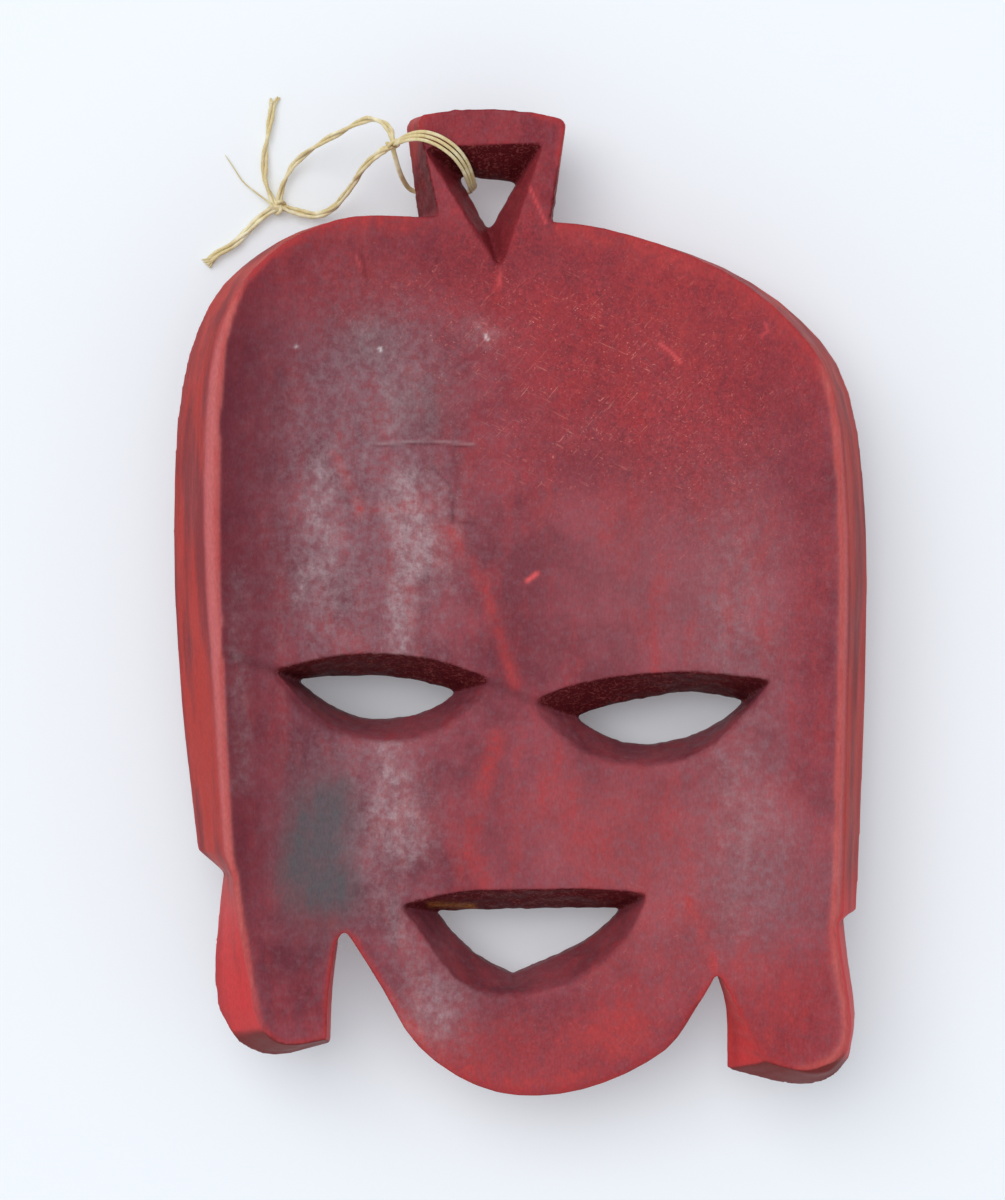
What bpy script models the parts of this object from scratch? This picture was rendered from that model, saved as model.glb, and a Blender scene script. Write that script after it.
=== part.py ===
"""Carved wooden face mask, lying face down, with the twine loop it hangs by.

Frame: metres, +Z up out of the hollow back, +Y from the chin to the hanging block, +X to the right
when the hollow is looked into. The origin is on the table, under the middle of the mask's outline.
"""
import math

import bmesh
import bpy
from mathutils import Vector

MM = 0.001

# Heights above the table, in millimetres.
RIM_Z = 30.0                  # back edge of the side walls
LIP_START_Z = 28.0            # the walls roll over into a bevelled lip above this
LIP_START = 0.70              # how far in the walls have leaned where the lip starts
ABOVE_Z = 46.0                # clear of everything, where cutters end
WIDE_Z = 15.0                 # where the side walls are widest
BLOCK_BACK_Z = 19.6
BLOCK_FRONT_Z = 9.0
FOREHEAD_Z = 7.0              # face plane inside the hairline
THROAT_Z = 10.5               # where the openings reach their smallest outline
LID_Z = 5.8                   # top of the raised eyelids
LIP_Z = 6.0                   # top of the raised lips
BROW_DIAMETER = 4.0

# The hollow is a long trough, a part of this ellipsoid.
HOLLOW_CENTRE = (1.5, 5.0, 40.8)
HOLLOW_RADII = (60.0, 230.0, 22.3)

# The front of the mask is domed, a part of this ellipsoid.
FRONT_CENTRE = (0.0, -5.0, 35.5)
FRONT_RADII = (92.0, 135.0, 28.0)

# The hair stands proud of the face and is flat where the carver left the plank's own surface.
HAIR_CENTRE = (0.0, 26.0, 13.5)
HAIR_RADII = (53.0, 38.0, 15.0)
LOCK_RADII = (9.0, 46.0, 9.5)
LOCK_Z = 14.5

TWINE_DIAMETER = 1.5
WRAP_DIAMETER = 1.6
FIBRE_DIAMETER = 0.6

WOOD_RED = (0.23, 0.035, 0.045, 1.0)
STRAW = (0.62, 0.50, 0.27, 1.0)

COLLECTION = "carved_wooden_mask"


# ---------------------------------------------------------------- scene and helpers

def clear_scene():
    for obj in list(bpy.data.objects):
        bpy.data.objects.remove(obj, do_unlink=True)
    for collection in list(bpy.data.collections):
        bpy.data.collections.remove(collection)


def new_collection(name):
    collection = bpy.data.collections.new(name)
    bpy.context.scene.collection.children.link(collection)
    return collection


def metres(point):
    return Vector(point) * MM


def smooth_curve(points, per_span):
    """Points along a Catmull-Rom curve through the given points, ends included."""
    points = [Vector(p) for p in points]
    before = 2 * points[0] - points[1]
    after = 2 * points[-1] - points[-2]
    chain = [before] + points + [after]
    result = []
    for index in range(1, len(chain) - 2):
        a, b, c, d = chain[index - 1:index + 3]
        for step in range(per_span):
            t = step / per_span
            result.append(0.5 * (2 * b + (c - a) * t
                                 + (2 * a - 5 * b + 4 * c - d) * t * t
                                 + (3 * b - a - 3 * c + d) * t ** 3))
    result.append(points[-1])
    return result


def closed_outline(stretches, per_span):
    """One closed ring from smooth stretches that meet at corners."""
    ring = []
    for points in stretches:
        ring.extend(smooth_curve(points, per_span)[:-1])
    return ring


def object_from_bmesh(name, bm, collection):
    bm.normal_update()
    bmesh.ops.recalc_face_normals(bm, faces=bm.faces)
    mesh = bpy.data.meshes.new(name)
    bm.to_mesh(mesh)
    bm.free()
    obj = bpy.data.objects.new(name, mesh)
    collection.objects.link(obj)
    return obj


def level(ring, height):
    """The flat ring as points at one height."""
    return [(p[0], p[1], height) for p in ring]


def loft(name, sections, collection):
    """Closed solid through rings of equal point count, from the lowest ring to the highest."""
    bm = bmesh.new()
    rings = []
    for ring in sections:
        rings.append([bm.verts.new(metres(p)) for p in ring])
    for lower, upper in zip(rings, rings[1:]):
        for index in range(len(lower)):
            after = (index + 1) % len(lower)
            bm.faces.new((lower[index], lower[after], upper[after], upper[index]))
    bm.faces.new(rings[0])
    bm.faces.new(rings[-1])
    return object_from_bmesh(name, bm, collection)


def ellipsoid(name, centre, radii, collection, around=64, along=32):
    """A sphere whose poles lie on Y, scaled to three radii."""
    bm = bmesh.new()
    bmesh.ops.create_uvsphere(bm, u_segments=around, v_segments=along, radius=1.0)
    for vert in bm.verts:
        x, y, z = vert.co
        vert.co = metres((centre[0] + radii[0] * x, centre[1] + radii[1] * z, centre[2] - radii[2] * y))
    return object_from_bmesh(name, bm, collection)


def box(name, low, high, collection):
    bm = bmesh.new()
    bmesh.ops.create_cube(bm, size=1.0)
    low, high = Vector(low), Vector(high)
    for vert in bm.verts:
        centre = (low + high) / 2
        size = high - low
        vert.co = metres([centre[i] + vert.co[i] * size[i] for i in range(3)])
    return object_from_bmesh(name, bm, collection)


def tube(name, points, diameter, collection):
    """A round tube along the points, as a closed mesh."""
    curve = bpy.data.curves.new(name, "CURVE")
    curve.dimensions = "3D"
    curve.bevel_depth = diameter / 2 * MM
    curve.bevel_resolution = 2
    curve.use_fill_caps = True
    spline = curve.splines.new("POLY")
    spline.points.add(len(points) - 1)
    for target, point in zip(spline.points, points):
        target.co = (*metres(point), 1.0)
    source = bpy.data.objects.new(name + "_curve", curve)
    collection.objects.link(source)
    depsgraph = bpy.context.evaluated_depsgraph_get()
    mesh = bpy.data.meshes.new_from_object(source.evaluated_get(depsgraph))
    bm = bmesh.new()
    bm.from_mesh(mesh)
    bmesh.ops.remove_doubles(bm, verts=bm.verts, dist=0.000001)
    bpy.data.objects.remove(source, do_unlink=True)
    bpy.data.meshes.remove(mesh)
    return object_from_bmesh(name, bm, collection)


def combine(target, other, operation):
    """Adds a Boolean modifier and marks the other solid as a cutter."""
    modifier = target.modifiers.new(operation.lower() + "_" + other.name, "BOOLEAN")
    modifier.operation = operation
    modifier.solver = "EXACT"
    modifier.object = other
    other.hide_render = True
    other.display_type = "WIRE"


def material(name, colour, roughness):
    mat = bpy.data.materials.new(name)
    mat.use_nodes = True
    shader = mat.node_tree.nodes["Principled BSDF"]
    shader.inputs["Base Color"].default_value = colour
    shader.inputs["Roughness"].default_value = roughness
    shader.inputs["Metallic"].default_value = 0.0
    return mat


def finish_node(obj, colour, roughness):
    obj.data.materials.append(material(obj.name + "_material", colour, roughness))
    obj.data.shade_smooth()
    obj.data.set_sharp_from_angle(angle=math.radians(35))


# ---------------------------------------------------------------- outlines of the mask

def mask_outlines():
    """The widest outline and the back edge, stretch by stretch, with matching corners."""
    widest = [
        # left flap, crown and right flap
        [(-54.7, -42.0), (-57.4, -17.0), (-58.8, 12.0), (-57.6, 36.0), (-53.0, 50.5), (-44.4, 59.0),
         (-33.8, 64.0), (-22.0, 65.2), (5.0, 64.2), (18.3, 62.2), (34.6, 56.7), (47.7, 47.7),
         (55.9, 35.3), (58.66, 12.0), (58.4, -17.0), (57.2, -52.1)],
        # foot of the right flap, right pendant
        [(57.2, -52.1), (54.9, -53.4)],
        [(54.9, -53.4), (55.6, -59.8), (56.9, -69.4), (55.9, -77.5)],
        [(55.9, -77.5), (52.3, -81.3), (45.8, -82.2), (35.1, -79.1)],
        [(35.1, -79.1), (35.0, -69.0), (33.0, -62.0)],
        # chin
        [(33.0, -62.0), (29.5, -68.6), (24.6, -75.6), (14.1, -81.3), (3.0, -83.5), (-7.5, -81.8),
         (-17.3, -75.0), (-23.5, -64.8), (-28.5, -56.4)],
        # left pendant, foot of the left flap
        [(-28.5, -56.4), (-29.6, -55.3), (-30.9, -57.0)],
        [(-30.9, -57.0), (-31.9, -66.0), (-32.2, -74.7)],
        [(-32.2, -74.7), (-42.0, -77.0), (-48.6, -74.6), (-52.0, -69.0)],
        [(-52.0, -69.0), (-52.4, -63.5), (-51.3, -54.0), (-50.3, -45.8)],
        [(-50.3, -45.8), (-54.7, -42.0)],
    ]
    back_edge = [
        [(-46.9, -42.0), (-48.0, -17.0), (-49.6, 12.0), (-49.2, 37.0), (-45.8, 49.6), (-39.8, 57.2),
         (-31.6, 62.2), (-22.0, 64.4), (5.0, 63.4), (17.2, 61.0), (31.6, 54.4), (43.2, 45.2),
         (50.2, 34.6), (52.6, 12.0), (52.4, -17.0), (51.8, -52.1)],
        [(51.8, -52.1), (51.6, -53.4)],
        [(51.6, -53.4), (52.6, -60.0), (54.0, -69.0), (53.6, -73.4)],
        [(53.6, -73.4), (51.4, -76.0), (48.2, -76.4), (45.3, -74.6)],
        [(45.3, -74.6), (38.6, -67.8), (33.2, -61.4)],
        [(33.2, -61.4), (29.1, -68.0), (24.0, -74.8), (13.9, -80.1), (3.0, -82.2), (-7.2, -80.6),
         (-16.6, -74.3), (-22.9, -64.3), (-28.3, -56.2)],
        [(-28.3, -56.2), (-29.5, -54.9), (-31.1, -57.0)],
        [(-31.1, -57.0), (-32.4, -65.0), (-32.6, -71.3)],
        [(-32.6, -71.3), (-36.8, -71.4), (-39.4, -69.6), (-40.3, -66.8)],
        [(-40.3, -66.8), (-41.3, -62.8), (-44.5, -54.5), (-46.7, -45.8)],
        [(-46.7, -45.8), (-46.9, -42.0)],
    ]
    return widest, back_edge


LEFT_EYE_BACK = [
    [(-41.0, -11.6), (-34.9, -9.9), (-28.0, -8.7), (-19.6, -8.9), (-12.2, -10.3), (-4.0, -13.4)],
    [(-4.0, -13.4), (-9.3, -18.6), (-14.0, -21.8), (-19.6, -23.4), (-26.8, -22.8), (-33.1, -19.8),
     (-41.0, -11.6)],
]
LEFT_EYE_FRONT = [
    [(-38.4, -13.3), (-34.0, -12.8), (-28.0, -12.6), (-23.0, -12.7), (-17.0, -13.6), (-10.9, -15.3)],
    [(-10.9, -15.3), (-13.5, -17.4), (-17.0, -19.0), (-22.0, -20.0), (-27.5, -19.8), (-33.0, -17.4),
     (-38.4, -13.3)],
]
RIGHT_EYE_BACK = [
    [(1.3, -16.8), (7.4, -14.3), (14.8, -12.7), (23.3, -11.9), (31.9, -11.9), (42.0, -13.2)],
    [(42.0, -13.2), (36.1, -20.0), (29.5, -25.4), (22.3, -27.3), (14.8, -26.8), (7.6, -23.6), (1.3, -16.8)],
]
RIGHT_EYE_FRONT = [
    [(9.2, -19.6), (14.0, -17.9), (19.0, -16.8), (23.7, -16.0), (29.5, -15.3), (38.8, -16.9)],
    [(38.8, -16.9), (35.0, -20.1), (29.6, -22.8), (22.8, -24.4), (17.5, -24.0), (13.4, -22.4), (9.2, -19.6)],
]
MOUTH_BACK = [
    [(-20.3, -51.0), (-10.0, -48.7), (0.0, -48.5), (10.7, -48.2), (21.6, -48.9)],
    [(21.6, -48.9), (17.8, -56.5), (10.7, -62.6), (5.0, -64.9), (-1.6, -66.1)],
    [(-1.6, -66.1), (-7.1, -65.7), (-12.5, -61.7), (-16.6, -55.6), (-20.3, -51.0)],
]
MOUTH_FRONT = [
    [(-14.5, -52.8), (-8.0, -52.6), (1.7, -52.4), (10.0, -52.3), (17.6, -52.3)],
    [(17.6, -52.3), (14.8, -55.3), (10.9, -58.2), (5.0, -61.1), (-1.2, -63.7)],
    [(-1.2, -63.7), (-5.0, -62.0), (-8.6, -59.6), (-12.0, -56.2), (-14.5, -52.8)],
]


# ---------------------------------------------------------------- sub-shapes of the carving

def carve_opening(body, name, back, front, cutters, per_span=3):
    """A hole whose sloped walls run from its outline on the hollow to a smaller one at the face."""
    wide = closed_outline(back, per_span)
    narrow = closed_outline(front, per_span)
    on_hollow = [(p[0], p[1], hollow_height(p[0], p[1])) for p in wide]
    sections = [level(narrow, -4.0), level(narrow, THROAT_Z), on_hollow, level(wide, ABOVE_Z)]
    combine(body, loft(name + "_cut", sections, cutters), "DIFFERENCE")


def hanging_block(body, cutters):
    """The block above the crown, wider at its top and towards the face."""
    front = [(-17.1, 58.0), (-17.3, 65.0), (-19.6, 81.2), (-18.8, 82.7), (-11.4, 83.4), (-3.1, 83.5),
             (2.2, 83.0), (6.9, 82.0), (7.9, 81.0), (5.4, 64.5), (5.0, 58.0)]
    back = [(-13.0, 58.0), (-13.8, 65.0), (-17.2, 80.8), (-16.4, 82.1), (-11.0, 82.8), (-3.1, 82.9),
            (2.1, 82.4), (6.7, 81.4), (7.6, 80.6), (5.1, 64.5), (4.8, 58.0)]
    block = loft("block", [level(front, BLOCK_FRONT_Z), level(back, BLOCK_BACK_Z)], cutters)
    combine(body, block, "UNION")


def hanging_eye(body, cutters):
    """A chip-cut triangle that narrows to a small hole and runs out in a V on the forehead."""
    rim = [(-16.2, 76.6), (4.0, 77.3), (-3.2, 55.4)]
    throat = [(-10.6, 73.0), (-0.4, 71.8), (-5.4, 63.4)]
    above = [(-18.4, 78.0), (5.7, 79.5), (-2.3, 52.2)]
    sections = [level(throat, 0.0), level(throat, THROAT_Z), level(rim, BLOCK_BACK_Z), level(above, 23.2)]
    combine(body, loft("hanging_eye_cut", sections, cutters), "DIFFERENCE")


def nose(body, cutters):
    """A long wedge from between the brows to a broad tip just above the mouth."""
    stations = [(-3.0, -1.6, 2.2, 6.4), (-18.0, -1.2, 3.0, 4.4), (-34.0, -0.4, 5.4, 0.9),
                (-40.5, 0.0, 7.6, 0.0), (-44.5, 0.2, 6.6, 0.5), (-47.0, 0.3, 3.6, 6.5)]
    bm = bmesh.new()
    rings = []
    for y, middle, half, front in stations:
        section = [(-half - 1.6, 12.0), (-half - 1.2, front + 4.2), (-half * 0.62, front + 0.9),
                   (0.0, front), (half * 0.62, front + 0.9), (half + 1.2, front + 4.2), (half + 1.6, 12.0)]
        rings.append([bm.verts.new(metres((middle + x, y, z))) for x, z in section])
    for first, second in zip(rings, rings[1:]):
        for index in range(len(first)):
            after = (index + 1) % len(first)
            bm.faces.new((first[index], first[after], second[after], second[index]))
    bm.faces.new(rings[0])
    bm.faces.new(rings[-1])
    combine(body, object_from_bmesh("nose", bm, cutters), "UNION")


def hair(body, cutters):
    """A domed cap of hair, its plank-flat top, and a lock down each side to the flap's foot."""
    cap = ellipsoid("hair_cap", HAIR_CENTRE, HAIR_RADII, cutters, around=48, along=24)
    combine(body, cap, "UNION")
    for side, x, y in (("left", -47.5, -1.0), ("right", 48.0, -6.0)):
        lock = ellipsoid(side + "_lock", (x, y, LOCK_Z), LOCK_RADII, cutters, around=20, along=20)
        combine(body, lock, "UNION")
    combine(body, box("plank_surface", (-70, -95, -20), (70, 95, 0), cutters), "DIFFERENCE")


def face_plane(body, cutters):
    """Lowers the face inside the arched hairline."""
    arch = [(36.5, -50.0), (37.5, -10.0), (33.0, 12.0), (20.0, 23.5), (0.0, 27.5), (-20.0, 23.5),
            (-33.0, 12.0), (-37.5, -10.0), (-36.5, -50.0)]
    ring = smooth_curve(arch, 3)
    outline = loft("face_plane_cut", [level(ring, -5.0), level(ring, FOREHEAD_Z)], cutters)
    combine(body, outline, "DIFFERENCE")


def front_height(x, y):
    """Height of the domed front over a point of the face."""
    dx = (x - FRONT_CENTRE[0]) / FRONT_RADII[0]
    dy = (y - FRONT_CENTRE[1]) / FRONT_RADII[1]
    return FRONT_CENTRE[2] - FRONT_RADII[2] * math.sqrt(1 - dx * dx - dy * dy)


def on_front(points, lift, per_span):
    """A smooth line drawn on the domed front, standing proud by lift."""
    return [(p[0], p[1], front_height(p[0], p[1]) - lift) for p in smooth_curve(points, per_span)]


def spread_ring(ring, margin):
    """The ring moved outwards from its middle by a margin."""
    middle = sum(ring, Vector((0.0, 0.0))) / len(ring)
    return [point + (point - middle).normalized() * margin for point in ring]


def collar(body, name, stretches, proud_z, wide_margin, proud_margin, cutters):
    """A raised, bevelled rim round an opening of the face, such as eyelids or lips."""
    ring = closed_outline(stretches, 3)
    top = level(spread_ring(ring, proud_margin), proud_z)
    foot = level(spread_ring(ring, wide_margin), 12.0)
    combine(body, loft(name, [top, foot], cutters), "UNION")


def features(body, cutters):
    """Brows, eyelids and lips."""
    left_brow = on_front([(-42.0, -8.0), (-33.0, -2.0), (-20.0, 0.5), (-7.0, -4.0)], 0.6, 5)
    right_brow = on_front([(4.0, -6.5), (18.0, -3.0), (32.0, -5.0), (43.0, -11.0)], 0.6, 5)
    combine(body, tube("left_brow", left_brow, BROW_DIAMETER, cutters), "UNION")
    combine(body, tube("right_brow", right_brow, BROW_DIAMETER, cutters), "UNION")
    collar(body, "left_lids", LEFT_EYE_FRONT, LID_Z, 4.2, 1.6, cutters)
    collar(body, "right_lids", RIGHT_EYE_FRONT, LID_Z, 4.2, 1.6, cutters)
    collar(body, "lips", MOUTH_FRONT, LIP_Z, 4.8, 2.4, cutters)


def hollow_height(x, y):
    """Height of the trough-shaped hollow over a point of the back."""
    dx = (x - HOLLOW_CENTRE[0]) / HOLLOW_RADII[0]
    dy = (y - HOLLOW_CENTRE[1]) / HOLLOW_RADII[1]
    return HOLLOW_CENTRE[2] - HOLLOW_RADII[2] * math.sqrt(1 - dx * dx - dy * dy)


def pendant_flat(body, name, x, y, half_width, low_y, high_y, cutters):
    """A narrow flat on the back of a pendant, tangent to the hollow at its middle."""
    centre = Vector((x, y, hollow_height(x, y)))
    across = Vector((1.0, 0.0, hollow_height(x + 0.5, y) - hollow_height(x - 0.5, y))).normalized()
    along = Vector((0.0, 1.0, hollow_height(x, y + 0.5) - hollow_height(x, y - 0.5)))
    normal = across.cross(along).normalized()
    bm = bmesh.new()
    bmesh.ops.create_cube(bm, size=1.0)
    for vert in bm.verts:
        u = vert.co.x * 2 * half_width
        v = low_y - y + (vert.co.y + 0.5) * (high_y - low_y)
        w = (vert.co.z + 0.5) * 14.0
        vert.co = metres(centre + across * u + along * v + normal * w)
    combine(body, object_from_bmesh(name + "_cut", bm, cutters), "DIFFERENCE")


# ---------------------------------------------------------------- the mask

def mask_body(parts, cutters):
    widest, back_edge = mask_outlines()
    wide_ring = closed_outline(widest, 3)
    back_ring = closed_outline(back_edge, 3)
    lip_ring = [wide.lerp(back, LIP_START) for wide, back in zip(wide_ring, back_ring)]
    sections = [level(wide_ring, -2.0), level(wide_ring, WIDE_Z), level(lip_ring, LIP_START_Z),
                level(back_ring, RIM_Z)]
    body = loft("mask_body", sections, parts)
    combine(body, ellipsoid("domed_front", FRONT_CENTRE, FRONT_RADII, cutters, 72, 36), "INTERSECT")
    hanging_block(body, cutters)
    hair(body, cutters)
    face_plane(body, cutters)
    nose(body, cutters)
    features(body, cutters)
    combine(body, ellipsoid("hollow_cut", HOLLOW_CENTRE, HOLLOW_RADII, cutters, 96, 40), "DIFFERENCE")
    carve_opening(body, "left_eye", LEFT_EYE_BACK, LEFT_EYE_FRONT, cutters)
    carve_opening(body, "right_eye", RIGHT_EYE_BACK, RIGHT_EYE_FRONT, cutters)
    carve_opening(body, "mouth", MOUTH_BACK, MOUTH_FRONT, cutters)
    hanging_eye(body, cutters)
    pendant_flat(body, "left_pendant_flat", -37.6, -65.0, 4.0, -80.0, -59.0, cutters)
    pendant_flat(body, "right_pendant_flat", 46.5, -69.0, 5.0, -86.0, -61.0, cutters)
    finish_node(body, WOOD_RED, 0.4)
    return body


# ---------------------------------------------------------------- the twine

HITCH_CENTRE = (-21.6, 77.6, 15.5)
KNOT_CENTRE = (-42.0, 68.6, 1.7)

WRAP_ROUTE = [(-20.2, 77.8, 17.4), (-18.9, 78.1, 19.6), (-16.5, 78.3, 20.9), (-13.7, 77.4, 21.0),
              (-11.0, 75.6, 19.9), (-9.2, 73.4, 17.0), (-8.2, 71.0, 13.0), (-8.1, 70.6, 9.4),
              (-9.6, 70.2, 7.7), (-12.4, 69.9, 7.5), (-16.0, 70.2, 7.4), (-19.0, 70.8, 8.2),
              (-20.0, 72.4, 11.0), (-20.8, 74.6, 13.2)]
UPPER_LEG_ROUTE = [(-22.0, 79.6, 15.6), (-22.8, 81.6, 14.4), (-25.4, 82.2, 12.6), (-30.7, 80.2, 8.4),
                   (-35.4, 78.9, 4.6), (-38.7, 76.6, 2.3), (-40.6, 73.8, 1.5), (-41.6, 70.7, 1.5)]
LOWER_LEG_ROUTE = [(-23.4, 76.6, 14.6), (-25.2, 75.4, 13.0), (-27.6, 73.2, 10.0), (-29.6, 70.6, 7.0),
                   (-32.0, 68.3, 4.2), (-35.0, 67.2, 2.2), (-37.6, 67.4, 1.5), (-39.8, 68.0, 1.5)]
UPPER_TAIL_ROUTE = [(-43.2, 70.4, 1.3), (-44.3, 73.6, 1.1), (-44.3, 77.2, 1.1), (-43.7, 81.5, 1.1),
                    (-43.2, 84.8, 1.1), (-42.9, 87.6, 1.1)]
LOWER_TAIL_ROUTE = [(-44.0, 67.6, 1.3), (-46.7, 65.0, 1.1), (-49.8, 62.2, 1.1), (-52.4, 60.5, 1.1),
                    (-53.8, 59.2, 1.1)]
FIBRE_ROUTE = [(-44.3, 69.9, 1.1), (-46.4, 71.6, 0.8), (-48.2, 73.2, 0.7), (-49.8, 75.6, 0.8),
               (-51.2, 77.7, 0.7)]


def twine(parts):
    """The one length of twine, as a wrap round the stem, a hitch, a loop, a knot and two tails."""
    strands = (
        ("twine_wrap", WRAP_ROUTE, WRAP_DIAMETER, 4),
        ("twine_upper_leg", UPPER_LEG_ROUTE, TWINE_DIAMETER, 3),
        ("twine_lower_leg", LOWER_LEG_ROUTE, TWINE_DIAMETER, 3),
        ("twine_upper_tail", UPPER_TAIL_ROUTE, TWINE_DIAMETER, 3),
        ("twine_lower_tail", LOWER_TAIL_ROUTE, TWINE_DIAMETER, 3),
        ("twine_fibre", FIBRE_ROUTE, FIBRE_DIAMETER, 3),
    )
    for name, route, diameter, per_span in strands:
        finish_node(tube(name, smooth_curve(route, per_span), diameter, parts), STRAW, 0.8)
    hitch = ellipsoid("twine_hitch", HITCH_CENTRE, (1.3, 1.6, 1.5), parts, 12, 8)
    knot = ellipsoid("twine_knot", KNOT_CENTRE, (1.7, 1.5, 1.5), parts, 12, 8)
    finish_node(hitch, STRAW, 0.8)
    finish_node(knot, STRAW, 0.8)


def main():
    clear_scene()
    parts = new_collection(COLLECTION)
    cutters = new_collection("cutters")
    mask_body(parts, cutters)
    twine(parts)


main()
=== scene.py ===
"""Looks for the carved wooden mask: the worked wood surface, its stain and wear with painted light and
shade in the colour, and the twine loop.
"""

import math

import bmesh
import bpy
import numpy as np
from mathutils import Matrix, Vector


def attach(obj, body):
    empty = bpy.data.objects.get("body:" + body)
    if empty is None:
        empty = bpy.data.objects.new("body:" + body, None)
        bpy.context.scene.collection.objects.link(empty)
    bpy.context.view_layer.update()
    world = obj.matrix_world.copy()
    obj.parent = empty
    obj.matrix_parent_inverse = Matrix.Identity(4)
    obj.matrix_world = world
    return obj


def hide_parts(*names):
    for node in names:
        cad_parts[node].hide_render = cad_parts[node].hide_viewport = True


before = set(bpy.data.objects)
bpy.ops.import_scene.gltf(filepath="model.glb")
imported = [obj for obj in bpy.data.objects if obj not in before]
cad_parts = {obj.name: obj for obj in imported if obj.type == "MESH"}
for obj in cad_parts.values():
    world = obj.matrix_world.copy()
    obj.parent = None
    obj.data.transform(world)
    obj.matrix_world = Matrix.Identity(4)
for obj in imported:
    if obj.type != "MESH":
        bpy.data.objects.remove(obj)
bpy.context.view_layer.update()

MM = 0.001
BODY = "root"

# ---------------------------------------------------------------- driving values, in millimetres

CAMERA_PLACE = (-3.0, 0.34, 580.0)
IMAGE_HEIGHT_AT_TABLE = 208.9          # what the frame's height covers on the table

VOXEL = 0.4
SMOOTH_PASSES = 2
EDGE_SCALE_PASSES = 50                 # smoothing that finds edges and creases

THREAD = 0.62                          # one thread of the twine

WRAP_ROUTE = [(-21.4, 77.6, 15.8), (-20.2, 77.9, 17.6), (-18.8, 78.2, 19.6), (-16.5, 78.3, 20.7),
              (-13.7, 77.4, 20.8), (-11.0, 75.6, 19.7), (-9.2, 73.4, 17.0), (-8.2, 71.0, 13.0),
              (-8.1, 70.6, 9.4), (-9.6, 70.2, 7.7), (-12.4, 69.9, 7.5), (-16.0, 70.2, 7.4),
              (-18.8, 70.8, 8.2), (-20.2, 72.6, 11.0), (-21.0, 74.8, 13.4), (-21.6, 77.0, 15.2)]
UPPER_LEG_ROUTE = [(-21.6, 78.0, 15.6), (-22.1, 79.8, 15.5), (-23.7, 81.6, 14.6), (-26.6, 82.1, 12.4),
                   (-30.7, 80.6, 8.6), (-35.4, 78.6, 4.8), (-38.7, 76.3, 2.5), (-40.6, 73.6, 1.5),
                   (-41.6, 70.7, 1.5)]
LOWER_LEG_ROUTE = [(-21.6, 77.2, 15.4), (-23.4, 76.6, 14.6), (-25.2, 75.4, 13.0), (-27.6, 73.2, 10.0),
                   (-29.6, 70.6, 7.0), (-32.0, 68.3, 4.2), (-35.0, 67.2, 2.2), (-37.6, 67.4, 1.5),
                   (-39.8, 68.0, 1.5)]
UPPER_TAIL_ROUTE = [(-43.2, 70.4, 1.3), (-44.3, 73.6, 1.1), (-44.3, 77.2, 1.1), (-43.7, 81.5, 1.1),
                    (-43.2, 84.8, 1.1), (-42.9, 87.0, 1.1)]
LOWER_TAIL_ROUTE = [(-44.0, 67.6, 1.3), (-46.7, 65.0, 1.1), (-49.8, 62.2, 1.1), (-52.4, 60.5, 1.1),
                    (-53.8, 59.2, 1.1)]
FIBRE_ROUTE = [(-43.0, 69.0, 1.3), (-44.6, 70.2, 1.1), (-46.4, 71.6, 0.8), (-48.2, 73.2, 0.7),
               (-49.8, 75.6, 0.8), (-51.2, 77.7, 0.7)]
HITCH_CENTRE = (-21.6, 77.6, 15.5)
KNOT_CENTRE = (-42.0, 68.6, 1.7)


# ---------------------------------------------------------------- marks on the wood, on the plan, in mm

# Lower edges of the eyes and the chin, rubbed round: reach of the rounding and the line.
RUBBED_EDGES = (
    (2.6, ((-36.0, -17.5), (-33.1, -19.8), (-26.8, -22.8), (-19.6, -23.4), (-14.0, -21.8), (-9.3, -18.6),
           (-5.0, -14.5))),
    (2.6, ((2.4, -18.2), (7.6, -23.6), (14.8, -26.8), (22.3, -27.3), (29.5, -25.4), (36.1, -20.0),
           (40.0, -16.0))),
    (1.6, ((-17.3, -74.8), (-7.5, -81.4), (3.0, -83.0), (14.1, -81.0), (24.6, -75.2), (29.5, -68.0))),
    (1.6, ((46.0, -80.0), (52.0, -79.5), (54.8, -76.0))),
    (1.0, ((18.5, -56.0), (10.7, -62.6), (-1.6, -66.1), (-7.1, -65.7))),
)

# Cuts and dents: half width, depth and the line.
CUTS = (
    (0.8, 0.22, ((-47.5, -9.0), (-40.0, -11.6))),
    (0.4, 0.20, ((1.6, -16.9), (-0.6, -18.6))),
    (0.6, 0.10, ((41.5, -13.2), (47.0, -14.2))),
    (0.4, 0.35, ((-2.2, -63.2), (-0.6, -66.2))),
    (0.3, 0.08, ((-24.6, 26.0), (-16.4, 26.7), (-7.5, 26.0))),
    (0.3, 0.12, ((23.3, 43.5), (25.5, 41.8), (26.8, 40.2))),
    (0.6, 0.18, ((1.0, 3.5), (3.0, 4.9))),
    (0.3, 0.10, ((1.6, 69.7), (4.3, 63.8))),
)

# The streak on the mouth's upper wall that took no dye.
UNDYED_STREAK = ((-15.0, -51.3), (-8.0, -51.9))
UNDYED_HALF_WIDTH = 0.6

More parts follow.
